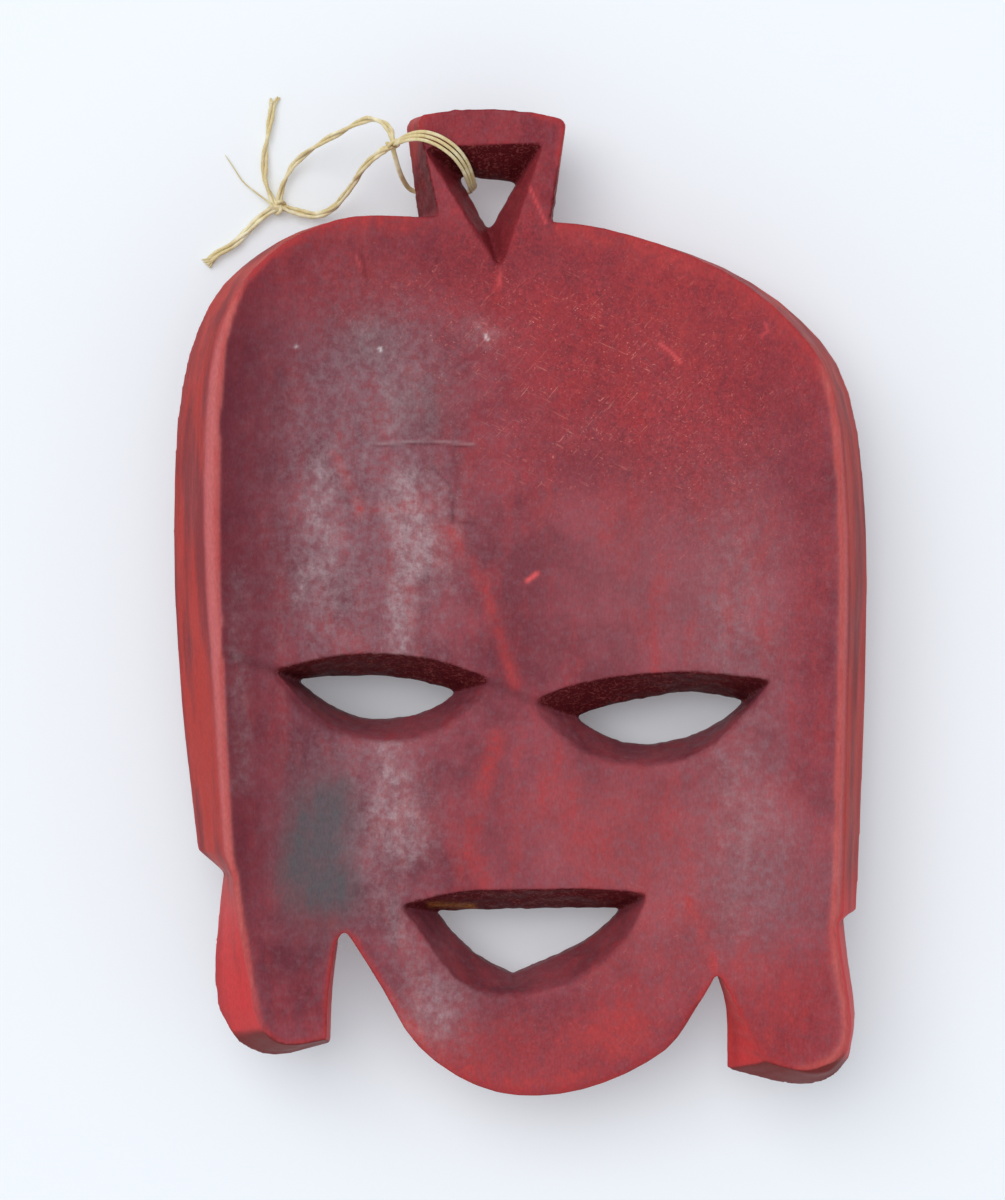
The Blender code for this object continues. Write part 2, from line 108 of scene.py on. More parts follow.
# Painted strokes: strength, half width and the line.
RED_STROKES = (
    (0.9, 2.2, ((-48.6, 50.0), (-43.4, 57.4), (-37.0, 61.4), (-28.6, 63.6), (-17.5, 64.0))),
    (0.7, 2.4, ((5.5, 63.0), (20.0, 60.6), (33.5, 54.9), (45.3, 46.5), (51.6, 36.0))),
    (0.7, 0.9, ((-31.1, 24.7), (-29.5, 21.3), (-26.9, 15.5))),
    (0.4, 1.4, ((-26.9, 15.5), (-15.2, 16.3))),
    (0.9, 1.2, ((-11.8, 12.1), (-7.6, 5.4), (-4.8, -1.3), (-2.6, -8.9), (-0.9, -14.0))),
    (0.8, 1.8, ((-3.9, -23.2), (-7.1, -33.3), (-8.5, -41.7), (-5.9, -47.2))),
    (0.5, 1.6, ((6.7, -26.0), (3.3, -35.0))),
    (0.9, 1.1, ((28.2, -50.1), (31.0, -57.0), (32.4, -61.0))),
    (0.7, 1.7, ((-20.0, -70.0), (-11.8, -78.5), (-0.1, -81.6), (13.4, -79.6))),
    (0.6, 0.7, ((-3.4, 55.6), (-3.9, 50.7))),
    (0.5, 1.0, ((-28.9, -57.0), (-22.0, -66.0), (-16.0, -75.0))),
)
RED_PATCHES = (
    (0.55, (21.0, 45.0), (28.0, 18.0)),
    (0.95, (15.9, -72.0), (6.5, 5.0)),
    (0.40, (20.0, -60.0), (13.0, 14.0)),
    (0.50, (0.0, -76.0), (14.0, 6.0)),
    (0.55, (45.0, -68.0), (10.0, 14.0)),
    (0.35, (18.0, -38.0), (20.0, 10.0)),
    (0.30, (-6.0, 74.0), (12.0, 12.0)),
    (0.35, (-30.0, 54.0), (16.0, 7.0)),
)
# Pale bloom with a painted sheen laid along it: strength, half width and the line.
BLOOM_AND_SHEEN_STROKES = (
    (0.80, 2.2, ((-19.4, 20.5), (-20.2, 13.8), (-18.4, 7.1), (-20.2, 0.3), (-20.5, -7.4))),
    (0.45, 2.0, ((-16.0, 12.1), (-15.2, 7.0))),
    (0.35, 2.4, ((-32.8, 22.2), (-34.5, 10.4), (-35.7, 0.3))),
    (0.75, 3.0, ((-22.2, -25.0), (-21.1, -33.3), (-18.5, -41.0))),
    (0.45, 2.6, ((-22.7, -50.9), (-18.5, -60.1), (-13.5, -68.5))),
    (0.30, 2.0, ((-47.2, 4.0), (-46.4, -30.0))),
)
# Patches of pale bloom and painted sheen: strength, centre and reach.
BLOOM_AND_SHEEN_PATCHES = (
    (0.30, (-19.4, 33.9), (5.0, 6.5)),
    (0.30, (-24.0, 43.2), (6.0, 3.5)),
    (0.45, (-6.8, 44.9), (3.0, 2.4)),
    (0.26, (-25.3, 14.0), (15.0, 30.0)),
    (0.50, (-15.5, 12.0), (5.0, 9.0)),
    (0.35, (-33.0, 8.0), (5.0, 14.0)),
    (0.34, (-24.0, -37.0), (9.0, 12.0)),
    (0.42, (-15.5, -70.0), (6.5, 8.0)),
    (0.24, (36.0, -4.0), (6.0, 22.0)),
    (0.30, (38.0, -40.0), (8.0, 16.0)),
)
# Where the hollow is greyed all over, partly a grey film and partly a painted sheen.
GREY_AND_SHEEN_PATCHES = (
    (0.90, (-28.0, 18.0), (17.0, 34.0)),
    (0.60, (-20.0, 44.0), (16.0, 10.0)),
    (0.60, (-28.0, -38.0), (12.0, 18.0)),
    (0.30, (36.0, -8.0), (10.0, 26.0)),
    (0.50, (42.0, -47.0), (11.0, 12.0)),
    (0.45, (-14.0, -67.0), (12.0, 12.0)),
)
# Painted light: the right flank and the chin of the hollow are painted warmer and lighter, as if lit:
# strength, centre and reach.
PAINTED_LIGHT_PATCHES = (
    (1.00, (26.0, 8.0), (25.0, 26.0)),
    (0.90, (26.0, -44.0), (30.0, 20.0)),
    (0.50, (-4.0, -76.0), (18.0, 8.0)),
    (0.15, (0.0, -30.0), (14.0, 14.0)),
)
# Where the stain stayed crimson, and where it is darkest: partly a dark stain, partly painted shade on the
# left flank and in the upper right of the hollow.
CRIMSON_PATCHES = (
    (1.00, (20.0, 47.0), (34.0, 14.0)),
    (0.80, (32.0, 30.0), (16.0, 18.0)),
    (0.60, (-4.0, 57.0), (22.0, 8.0)),
    (0.50, (8.0, 26.0), (16.0, 12.0)),
    (0.50, (48.0, 0.0), (4.0, 40.0)),
    (0.40, (-36.0, 54.0), (14.0, 8.0)),
    (0.70, (8.0, -76.0), (26.0, 9.0)),
    (0.50, (44.0, -72.0), (12.0, 12.0)),
    (0.55, (-6.0, 74.0), (22.0, 16.0)),
)
# Dark stain and painted shade: strength, centre and reach.
DEEP_STAIN_AND_SHADE_PATCHES = (
    (0.60, (31.0, 46.0), (6.0, 4.5)),
    (0.60, (40.0, 37.5), (5.0, 5.0)),
    (0.50, (45.5, 26.0), (4.0, 9.0)),
    (0.40, (11.0, 22.0), (4.0, 4.0)),
    (0.50, (-43.0, 24.0), (5.0, 30.0)),
    (0.50, (-12.0, 58.0), (15.0, 5.0)),
    (0.45, (7.0, 58.0), (7.0, 5.0)),
    (0.40, (-36.0, 46.0), (8.0, 8.0)),
    (0.35, (-2.0, -10.0), (5.0, 9.0)),
    (0.35, (4.0, 3.0), (7.0, 9.0)),
    (0.35, (-40.0, -62.0), (8.0, 12.0)),
    (0.30, (14.0, -14.0), (22.0, 4.0)),
)
# Where the polish is covered with fine specks and scratches.
SCRATCHED_PATCHES = (
    (1.00, (14.0, 36.0), (26.0, 20.0)),
    (0.45, (-10.0, 50.0), (22.0, 10.0)),
    (0.45, (38.0, 14.0), (14.0, 26.0)),
    (0.35, (20.0, -60.0), (24.0, 20.0)),
    (0.20, (-24.0, 10.0), (22.0, 44.0)),
)
SMUDGE_PATCHES = (
    (0.30, (-17.0, 33.0), (5.0, 5.0)),
    (0.22, (-24.5, 43.5), (5.0, 4.0)),
    (1.20, (-34.0, -41.5), (6.0, 12.5)),
    (0.55, (-30.6, -32.5), (2.8, 5.0)),
    (0.55, (-30.0, -48.6), (3.4, 4.0)),
    (0.35, (-37.5, -46.0), (3.5, 5.0)),
)
# Bare pale nicks: strength, half width and the line.
NICKS = (
    (0.8, 0.40, ((1.2, 3.6), (2.8, 4.8))),
    (0.55, 0.25, ((23.3, 43.5), (25.5, 41.8), (26.8, 40.2))),
    (0.30, 0.25, ((40.9, 46.4), (41.3, 45.2), (40.3, 44.4))),
    (0.45, 0.22, ((1.6, 69.7), (4.3, 63.8))),
    (0.35, 0.30, ((-3.4, 55.2), (-3.6, 53.4))),
    (0.25, 0.22, ((-27.5, 58.0), (-26.8, 56.0))),
)
# White flecks.
FLECKS = (
    (0.7, 0.24, ((-23.6, 42.6), (-23.4, 42.3))),
    (0.4, 0.24, ((-37.5, 42.7), (-37.3, 42.6))),
    (0.6, 0.22, ((-5.9, 44.9), (-5.5, 44.2))),
    (0.12, 0.22, ((-24.0, 26.6), (-16.0, 27.2), (-8.0, 26.6))),
)
# Dark cracks in the polish, and two wider strokes of painted shade along the creases by the eyes.
CRACKS_AND_CREASE_SHADE = (
    (0.6, 0.20, ((-24.6, 26.0), (-16.4, 26.7), (-7.5, 26.0))),
    (0.6, 0.22, ((-14.8, 22.7), (-12.0, 19.8), (-11.3, 16.1), (-11.5, 14.1))),
    (0.5, 0.25, ((-11.5, 13.6), (-7.5, 13.2))),
    (0.4, 0.30, ((-26.8, 58.6), (-25.6, 53.0))),
    (0.5, 0.8, ((-47.5, -9.2), (-39.0, -11.8))),
    (0.4, 1.0, ((-4.6, -13.6), (2.0, -16.6))),
)

# Openings that are cut through: centre and reach on the plan, in millimetres.
OPENINGS = (
    ((-24.0, -15.8), (20.0, 9.2)),
    ((22.5, -19.4), (22.5, 10.2)),
    ((0.6, -57.0), (22.5, 11.2)),
    ((-6.0, 68.5), (11.0, 15.0)),
)


# ---------------------------------------------------------------- camera, floor and light

def look_at(obj, target):
    direction = Vector(target) - obj.location
    obj.rotation_euler = direction.to_track_quat("-Z", "Y").to_euler()


def make_camera():
    data = bpy.data.cameras.new("camera")
    camera = bpy.data.objects.new("camera", data)
    bpy.context.scene.collection.objects.link(camera)
    camera.location = Vector(CAMERA_PLACE) * MM
    camera.rotation_euler = (0.0, 0.0, 0.0)
    data.sensor_fit = "VERTICAL"
    data.sensor_height = 36.0
    data.lens = data.sensor_height * CAMERA_PLACE[2] / IMAGE_HEIGHT_AT_TABLE
    data.clip_start = 0.01
    data.clip_end = 10.0
    bpy.context.scene.camera = camera


def make_floor():
    bpy.ops.mesh.primitive_plane_add(size=4.0, location=(0.0, 0.0, 0.0))
    floor = bpy.context.object
    floor.name = "floor"
    mat = bpy.data.materials.new("pale_floor")
    mat.use_nodes = True
    shader = mat.node_tree.nodes["Principled BSDF"]
    shader.inputs["Base Color"].default_value = (0.77, 0.805, 0.84, 1.0)
    shader.inputs["Roughness"].default_value = 0.8
    shader.inputs["Specular IOR Level"].default_value = 0.2
    shader.inputs["Emission Color"].default_value = (0.92, 0.96, 1.0, 1.0)
    shader.inputs["Emission Strength"].default_value = 0.13
    floor.data.materials.append(mat)


def area_light(name, place, target, size, power, colour):
    data = bpy.data.lights.new(name, "AREA")
    data.shape = "DISK"
    data.size = size
    data.energy = power
    data.color = colour
    light = bpy.data.objects.new(name, data)
    bpy.context.scene.collection.objects.link(light)
    light.location = place
    look_at(light, target)


def make_lights():
    area_light("window", (-0.9, 1.0, 2.8), (0.0, 0.0, 0.0), 2.8, 46.0, (1.0, 0.99, 0.98))
    world = bpy.data.worlds.new("soft_room")
    world.use_nodes = True
    background = world.node_tree.nodes["Background"]
    background.inputs["Color"].default_value = (0.93, 0.965, 1.0, 1.0)
    background.inputs["Strength"].default_value = 0.70
    bpy.context.scene.world = world
    bpy.context.scene.view_settings.view_transform = "Standard"


# ---------------------------------------------------------------- mesh helpers

def smooth_curve(points, per_span):
    """Points along a Catmull-Rom curve through the given points, ends included."""
    points = [Vector(p) for p in points]
    before = 2 * points[0] - points[1]
    after = 2 * points[-1] - points[-2]
    chain = [before] + points + [after]
    result = []
    for index in range(1, len(chain) - 2):
        a, b, c, d = chain[index - 1:index + 3]
        for step in range(per_span):
            t = step / per_span
            result.append(0.5 * (2 * b + (c - a) * t
                                 + (2 * a - 5 * b + 4 * c - d) * t * t
                                 + (3 * b - a - 3 * c + d) * t ** 3))
    result.append(points[-1])
    return result


def travelling_frames(points):
    """For each point, two directions across the path that turn as little as possible."""
    tangents = []
    for index in range(len(points)):
        ahead = points[min(index + 1, len(points) - 1)]
        behind = points[max(index - 1, 0)]
        tangents.append((ahead - behind).normalized())
    across = tangents[0].orthogonal().normalized()
    frames = []
    for tangent in tangents:
        across = (across - tangent * across.dot(tangent)).normalized()
        frames.append((across, tangent.cross(across)))
    return frames


class TubeMesh:
    """Collects round tubes into one mesh, with u round each tube and v along it in millimetres."""

    def __init__(self):
        self.verts = []
        self.faces = []
        self.uvs = []

    def add(self, points, radii, sides=10):
        points = [Vector(p) for p in points]
        frames = travelling_frames(points)
        start = len(self.verts)
        travelled = 0.0
        lengths = []
        for index, (point, (u, v)) in enumerate(zip(points, frames)):
            if index:
                travelled += (point - points[index - 1]).length
            lengths.append(travelled)
            radius = radii[index] if isinstance(radii, list) else radii
            for side in range(sides):
                angle = 2 * math.pi * side / sides
                self.verts.append((point + (u * math.cos(angle) + v * math.sin(angle)) * radius) * MM)
        for ring in range(len(points) - 1):
            for side in range(sides):
                after = (side + 1) % sides
                a = start + ring * sides
                b = a + sides
                self.faces.append((a + side, a + after, b + after, b + side))
                low = (side / sides, lengths[ring])
                low_after = ((side + 1) / sides, lengths[ring])
                high = (side / sides, lengths[ring + 1])
                high_after = ((side + 1) / sides, lengths[ring + 1])
                self.uvs.extend([low, low_after, high_after, high])
        last = start + (len(points) - 1) * sides
        self.faces.append(tuple(reversed(range(start, start + sides))))
        self.faces.append(tuple(range(last, last + sides)))
        self.uvs.extend([(0.5, 0.0)] * sides + [(0.5, lengths[-1])] * sides)

    def build(self, name):
        mesh = bpy.data.meshes.new(name)
        mesh.from_pydata([tuple(v) for v in self.verts], [], self.faces)
        layer = mesh.uv_layers.new(name="along")
        flat = [c for uv in self.uvs for c in uv]
        layer.data.foreach_set("uv", flat)
        mesh.shade_smooth()
        obj = bpy.data.objects.new(name, mesh)
        bpy.context.scene.collection.objects.link(obj)
        return obj


# ---------------------------------------------------------------- the worked wood surface

def solid_copy(node):
    """A welded copy of a CAD node's mesh."""
    bm = bmesh.new()
    bm.from_mesh(node.data)
    bmesh.ops.remove_doubles(bm, verts=bm.verts, dist=0.000002)
    mesh = bpy.data.meshes.new("wood_source")
    bm.to_mesh(mesh)
    bm.free()
    return mesh


def remeshed(mesh):
    """The surface as an even net of small quads."""
    source = bpy.data.objects.new("wood_source", mesh)
    bpy.context.scene.collection.objects.link(source)
    modifier = source.modifiers.new("even_net", "REMESH")
    modifier.mode = "VOXEL"
    modifier.voxel_size = VOXEL * MM
    depsgraph = bpy.context.evaluated_depsgraph_get()
    result = bpy.data.meshes.new_from_object(source.evaluated_get(depsgraph))
    bpy.data.objects.remove(source, do_unlink=True)
    bpy.data.meshes.remove(mesh)
    return result


def points_of(mesh):
    points = np.empty(len(mesh.vertices) * 3)
    mesh.vertices.foreach_get("co", points)
    return points.reshape(-1, 3) / MM


def edges_of(mesh):
    edges = np.empty(len(mesh.edges) * 2, np.int64)
    mesh.edges.foreach_get("vertices", edges)
    return edges.reshape(-1, 2)


def neighbour_mean(values, edges, count):
    total = np.zeros_like(values)
    for column in range(values.shape[1]):
        total[:, column] = (np.bincount(edges[:, 0], values[edges[:, 1], column], len(values))
                            + np.bincount(edges[:, 1], values[edges[:, 0], column], len(values)))
    return total / count[:, None]


def smoothed(values, edges, passes, strength=0.6):
    count = np.bincount(edges.ravel(), minlength=len(values)).astype(float)
    for _ in range(passes):
        values = values + strength * (neighbour_mean(values, edges, count) - values)
    return values


def normals_of(mesh, points):
    mesh.vertices.foreach_set("co", (points * MM).ravel())
    mesh.update()
    normals = np.empty(len(points) * 3)
    mesh.vertices.foreach_get("normal", normals)
    return normals.reshape(-1, 3)


def value_noise(points, cell, seed):
    """Smooth noise from -1 to 1 whose lumps are about the cell's size, one size for each axis."""
    scaled = points / np.asarray(cell) + 1000.0
    base = np.floor(scaled).astype(np.int64)
    part = scaled - base
    part = part * part * (3 - 2 * part)
    table = np.random.default_rng(seed).uniform(-1, 1, 4096)
    total = np.zeros(len(points))
    for dx in (0, 1):
        for dy in (0, 1):
            for dz in (0, 1):
                corner = base + (dx, dy, dz)
                key = (corner[:, 0] * 73 + corner[:, 1] * 179 + corner[:, 2] * 283) % 4096
                weight = (np.where(dx, part[:, 0], 1 - part[:, 0])
                          * np.where(dy, part[:, 1], 1 - part[:, 1])
                          * np.where(dz, part[:, 2], 1 - part[:, 2]))
                total += weight * table[key]
    return total


def smooth_step(values, low, high):
    t = np.clip((values - low) / (high - low), 0, 1)
    return t * t * (3 - 2 * t)


def line_distance(points, path):
    """Distance on the plan from each point to a line of several straight runs."""
    nearest = np.full(len(points), 1e9)
    for start, end in zip(path, path[1:]):
        start = np.asarray(start, float)
        step = np.asarray(end, float) - start
        offset = points[:, :2] - start
        along = np.clip(offset @ step / (step @ step), 0, 1)
        nearest = np.minimum(nearest, np.linalg.norm(offset - along[:, None] * step, axis=1))
    return nearest


def strokes(points, table):
    """Soft lines, laid over each other: strength, half width and line of each."""
    total = np.zeros(len(points))
    for strength, half, path in table:
        total += strength * np.exp(-(line_distance(points, path) / half) ** 2)
    return total


def patches(points, table):
    """Soft oval patches, laid over each other: strength, centre and reach of each."""
    total = np.zeros(len(points))
    for strength, centre, reach in table:
        dx = (points[:, 0] - centre[0]) / reach[0]
        dy = (points[:, 1] - centre[1]) / reach[1]
        total += strength * np.exp(-(dx * dx + dy * dy) ** 1.25)
    return total


def inside_openings(points):
    """1 over the eyes, the mouth and the hanging eye, with a soft border."""
    total = np.zeros(len(points))
    for centre, reach in OPENINGS:
        dx = (points[:, 0] - centre[0]) / reach[0]
        dy = (points[:, 1] - centre[1]) / reach[1]
        total = np.maximum(total, smooth_step(-(dx * dx + dy * dy), -1.45, -1.10))
    return total


def rubbed_round(points, broad, normals):
    """Moves the hand-worn edges towards the much smoother surface."""
    rounding = np.zeros(len(points))
    for reach, path in RUBBED_EDGES:
        rounding = np.maximum(rounding, np.exp(-(line_distance(points, path) / reach) ** 2))
    rounding *= smooth_step(normals[:, 2], -0.2, 0.3) * smooth_step(points[:, 2], 12.0, 16.0)
    return points + (broad - points) * (0.85 * rounding)[:, None]


def hair_mask(points, normals):
    """1 on the hair of the front: the cap outside the hairline, and the two locks."""
    front = smooth_step(-normals[:, 2], 0.1, 0.35)
    x, y, z = points.T
    face = (x / 38.0) ** 2 + ((y + 10.0) / 38.5) ** 2
    crown = (x / 53.0) ** 2 + ((y - 26.0) / 38.0) ** 2
    cap = smooth_step(-crown, -1.0, -0.92) * smooth_step(face, 1.0, 1.05)
    lock = smooth_step(np.abs(x), 38.8, 39.6) * smooth_step(-z, -13.0, -11.5) * smooth_step(y, -50.0, -48.0)
    return front * np.maximum(cap, lock)


def carve_details(points, normals):
    """Depth of the knife work at each point of the surface, in millimetres along its normal."""
    lift = 0.09 * value_noise(points, (9.0, 16.0, 9.0), 1)
    lift += 0.030 * value_noise(points, (3.0, 7.0, 3.0), 2)
    back = smooth_step(normals[:, 2], 0.3, 0.7)
    for half, depth, path in CUTS:
        lift -= depth * back * np.exp(-(line_distance(points, path) / half) ** 2)
    rough_wall = inside_openings(points) * smooth_step(-normals[:, 2], -0.85, -0.6)
    lift += 0.13 * rough_wall * value_noise(points, (1.1, 1.1, 2.6), 3)
    angle = np.arctan2(points[:, 0], points[:, 1] + 25.0)
    grooves = 0.5 + 0.5 * np.cos(angle * 130.0 + 0.6 * value_noise(points, (8.0, 8.0, 8.0), 4))
    lift -= 0.35 * hair_mask(points, normals) * grooves ** 2
    return lift


def outer_masks(points, normals, relief, opening):
    """The outer walls with painted highlights on the rim's rounded lips and along its top, painted shade on
    the hollow's left flank and on the pendants' down-facing ends, and the pendants' sides.
    """
    nx, ny, nz = normals.T
    x, y, z = points.T
    outward = nx * np.sign(x)
    # Painted highlight on the rim's rounded lips, where they catch the light.
    lip_highlight = smooth_step(outward, 0.0, 0.25) * smooth_step(z, 27.0, 28.0) * smooth_step(nz, 0.55, 0.7)
    side = smooth_step(-nz, -0.70, -0.55) * (1 - opening) * smooth_step(nz, -0.8, -0.5)
    pendants = smooth_step(-y, 43.0, 53.0) * smooth_step(np.abs(x), 27.0, 31.0)
    facing_down = smooth_step(-ny, 0.40, 0.62) * smooth_step(-nz, -0.86, -0.74)
    # Painted shade: the pendants' down-facing ends, turned from the light, made dark brown.
    pendant_end_shade = facing_down * smooth_step(-y, 66.0, 69.0) * pendants
    # Painted highlight: a narrow bright line along the top of the rim.
    crest_highlight = smooth_step(relief, 0.22, 0.42) * smooth_step(z, 27.5, 28.6) * smooth_step(nz, 0.5, 0.8)
    # Painted shade: the left flank of the hollow, which faces away from the light, made darker.
    left_flank_shade = smooth_step(-outward, 0.26, 0.52) * facing_back(normals) * (x < 0) * smooth_step(y, -60, -45)
    return {"lip_highlight": lip_highlight, "side": side, "pendant_side": side * pendants, "pendant_end_shade": pendant_end_shade,
            "crest_highlight": crest_highlight, "left_flank_shade": left_flank_shade}


def wall_masks(points, normals, opening):
    """The cut walls of the openings, the hanging eye's among them, split into upper and lower walls that
    carry painted shade, and the streak left undyed.
    """
    wall = opening * smooth_step(-normals[:, 2], -0.86, -0.70)
    upper = smooth_step(-normals[:, 1], -0.15, 0.35)
    streak = np.exp(-(line_distance(points, UNDYED_STREAK) / UNDYED_HALF_WIDTH) ** 2)
    # Upper and lower walls are kept apart for the painted shade in the openings.
    return {"upper_wall_shade": wall * upper, "lower_wall_shade": wall * (1 - upper), "undyed": streak * wall,
            "recess": wall * smooth_step(points[:, 1], 48.0, 52.0)}


def stain_masks(points, noise, fine, back):
    """Where the stain is worn red, hazed, smudged, cracked or scratched, and where sheen, light and shade
    are painted on it.
    """
    tiny = value_noise(points, (0.9, 1.2, 0.9), 7)
    red = strokes(points, RED_STROKES) + patches(points, RED_PATCHES)
    red *= 0.85 + 0.35 * noise + 0.30 * fine + 0.2 * tiny
    # Pale bloom and painted sheen on the hollow.
    bloom_and_sheen = strokes(points, BLOOM_AND_SHEEN_STROKES) + patches(points, BLOOM_AND_SHEEN_PATCHES)
    bloom_and_sheen *= (0.85 + 0.35 * noise + 0.35 * fine + 0.3 * tiny) * back
    smudge = patches(points, SMUDGE_PATCHES) * (0.9 + 0.25 * noise + 0.25 * fine) * back
    masks = {"red": red, "bloom_and_sheen": bloom_and_sheen, "smudge": smudge, "crimson": patches(points, CRIMSON_PATCHES)}
    for name, lines in (("dark", CRACKS_AND_CREASE_SHADE), ("fleck", FLECKS), ("nick", NICKS)):
        masks[name] = strokes(points, lines) * back
    for name, places in (("greyed_and_sheen", GREY_AND_SHEEN_PATCHES), ("painted_light", PAINTED_LIGHT_PATCHES), ("deep_stain_and_shade", DEEP_STAIN_AND_SHADE_PATCHES),
                         ("scratched", SCRATCHED_PATCHES)):
        masks[name] = patches(points, places) * back
    return masks


def facing_back(normals):
    return smooth_step(normals[:, 2], 0.45, 0.75)


def surface_masks(points, normals, relief):
    """Where the wood is worn, stained or cut in its own way, and where light and shade are painted, each
    from 0 to 1.
    """
    noise = value_noise(points, (4.0, 9.0, 5.0), 5)
    fine = value_noise(points, (1.3, 3.0, 1.5), 6)
    opening = inside_openings(points)
    edge = smooth_step(relief + 0.05 * noise, 0.12, 0.45) * (1 - 0.85 * opening) * (0.7 + 0.4 * fine)
    # The second entry is painted shade: darker in creases and recesses, where the surface sits below its
    # neighbours.
    masks = {"edge": edge, "crease_shade": smooth_step(-relief, 0.06, 0.35)}
    masks.update(outer_masks(points, normals, relief, opening))
    masks.update(wall_masks(points, normals, opening))
    masks.update(stain_masks(points, noise, fine, facing_back(normals)))
    return {name: np.clip(values, 0, 1) for name, values in masks.items()}


def store(mesh, name, values):
    layer = mesh.attributes.new(name, "FLOAT", "POINT")
    layer.data.foreach_set("value", values.astype(np.float32))


def make_wood():
    mesh = remeshed(solid_copy(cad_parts["mask_body"]))
    edges = edges_of(mesh)
    points = smoothed(points_of(mesh), edges, SMOOTH_PASSES)
    normals = normals_of(mesh, points)
    broad = smoothed(points, edges, EDGE_SCALE_PASSES)
    relief = np.sum((points - broad) * normals, axis=1)
    points = rubbed_round(points, broad, normals)
    normals = normals_of(mesh, points)
    masks = surface_masks(points, smoothed(normals, edges, 4), relief)
    for name in ("lip_highlight", "side", "crest_highlight"):
        masks[name] = smoothed(masks[name][:, None], edges, 6)[:, 0]
    points = points + normals * carve_details(points, normals)[:, None]
    points[:, 2] = np.maximum(points[:, 2], 0.0)
    mesh.vertices.foreach_set("co", (points * MM).ravel())
    for name, values in masks.items():
        store(mesh, name, values)
    mesh.materials.clear()
    mesh.materials.append(wood_material())
    mesh.shade_smooth()
    mesh.update()
    wood = bpy.data.objects.new("carved_wood", mesh)
    bpy.context.scene.collection.objects.link(wood)
    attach(wood, BODY)
    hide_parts("mask_body")


# ---------------------------------------------------------------- materials

class Nodes:
    """Small helper that adds and links shader nodes."""

    def __init__(self, name):
        self.material = bpy.data.materials.new(name)
        self.material.use_nodes = True
        self.tree = self.material.node_tree
        self.shader = self.tree.nodes["Principled BSDF"]

    def add(self, kind, **settings):
        node = self.tree.nodes.new(kind)
        for key, value in settings.items():
            setattr(node, key, value)
        return node

    def link(self, output, target):
        self.tree.links.new(output, target)

    def feed(self, socket, value):
        """Sets a constant on the socket, or links an output to it."""
        if isinstance(value, (int, float, tuple)):
            socket.default_value = value
        else:
            self.link(value, socket)

    def attribute(self, name):
        return self.add("ShaderNodeAttribute", attribute_name=name).outputs["Fac"]

    def noise(self, coordinates, scale, detail=2.0, roughness=0.5, distortion=0.0):
        node = self.add("ShaderNodeTexNoise")
        node.inputs["Scale"].default_value = scale
        node.inputs["Detail"].default_value = detail
        node.inputs["Roughness"].default_value = roughness
        node.inputs["Distortion"].default_value = distortion
        self.link(coordinates, node.inputs["Vector"])
        return node.outputs["Fac"]

    def stretch(self, coordinates, scale, rotation=(0.0, 0.0, 0.0)):
        node = self.add("ShaderNodeMapping")
        node.inputs["Scale"].default_value = scale
        node.inputs["Rotation"].default_value = rotation
        self.link(coordinates, node.inputs["Vector"])
        return node.outputs["Vector"]

    def ramp(self, value, low, high, out_low=0.0, out_high=1.0):
        node = self.add("ShaderNodeMapRange")
        node.inputs["From Min"].default_value = low
        node.inputs["From Max"].default_value = high
        node.inputs["To Min"].default_value = out_low
        node.inputs["To Max"].default_value = out_high
        self.link(value, node.inputs["Value"])
        return node.outputs["Result"]

    def math(self, operation, first, second):
        node = self.add("ShaderNodeMath", operation=operation)
        for socket, value in zip(node.inputs, (first, second)):
            self.feed(socket, value)
        return node.outputs["Value"]

    def mix(self, factor, first, second, blend="MIX"):
        node = self.add("ShaderNodeMix", data_type="RGBA", blend_type=blend)
        for socket, value in zip((node.inputs["Factor"], node.inputs["A"], node.inputs["B"]),
                                 (factor, first, second)):
            self.feed(socket, value)
        return node.outputs["Result"]

    def bump(self, height, strength, distance, normal=None):
        node = self.add("ShaderNodeBump")
        node.inputs["Strength"].default_value = strength
        node.inputs["Distance"].default_value = distance
        self.link(height, node.inputs["Height"])
        if normal is not None:
            self.link(normal, node.inputs["Normal"])
        return node.outputs["Normal"]


MAUVE_DARK = (0.155, 0.032, 0.046, 1.0)
MAUVE = (0.280, 0.060, 0.078, 1.0)
# Greyish pink of the film on the stain and of the painted sheen.
HAZE_AND_SHEEN_GREY = (0.235, 0.125, 0.150, 1.0)
# Painted light colour for the lit right flank and chin.
PAINTED_LIGHT_MAUVE = (0.430, 0.125, 0.140, 1.0)
STAIN_RED = (0.430, 0.052, 0.054, 1.0)
CRIMSON_DARK = (0.150, 0.016, 0.024, 1.0)
CRIMSON = (0.390, 0.038, 0.045, 1.0)
SIDE_DARK = (0.240, 0.032, 0.034, 1.0)
SIDE_RED = (0.450, 0.044, 0.034, 1.0)
PENDANT_RED = (0.580, 0.048, 0.052, 1.0)
# Painted shade on the pendants' down-facing ends.
END_SHADE_BROWN = (0.130, 0.018, 0.016, 1.0)
# Painted highlight colours for the rim.
LIP_HIGHLIGHT_PINK = (0.570, 0.145, 0.145, 1.0)
CREST_HIGHLIGHT_PINK = (0.640, 0.180, 0.150, 1.0)
WORN_RED = (0.440, 0.042, 0.046, 1.0)
# Painted shade on the left flank of the hollow.
LEFT_FLANK_SHADE_MAROON = (0.130, 0.022, 0.034, 1.0)
# Painted shade on the upper walls of the openings.
WALL_SHADE_DARK = (0.080, 0.007, 0.010, 1.0)
WALL_FIBRE = (0.230, 0.050, 0.045, 1.0)
RECESS_RED = (0.200, 0.024, 0.030, 1.0)
# Dark of the cracks and of the painted crease shade.
CRACK_AND_CREASE_DARK = (0.070, 0.012, 0.018, 1.0)
SMUDGE = (0.098, 0.096, 0.104, 1.0)
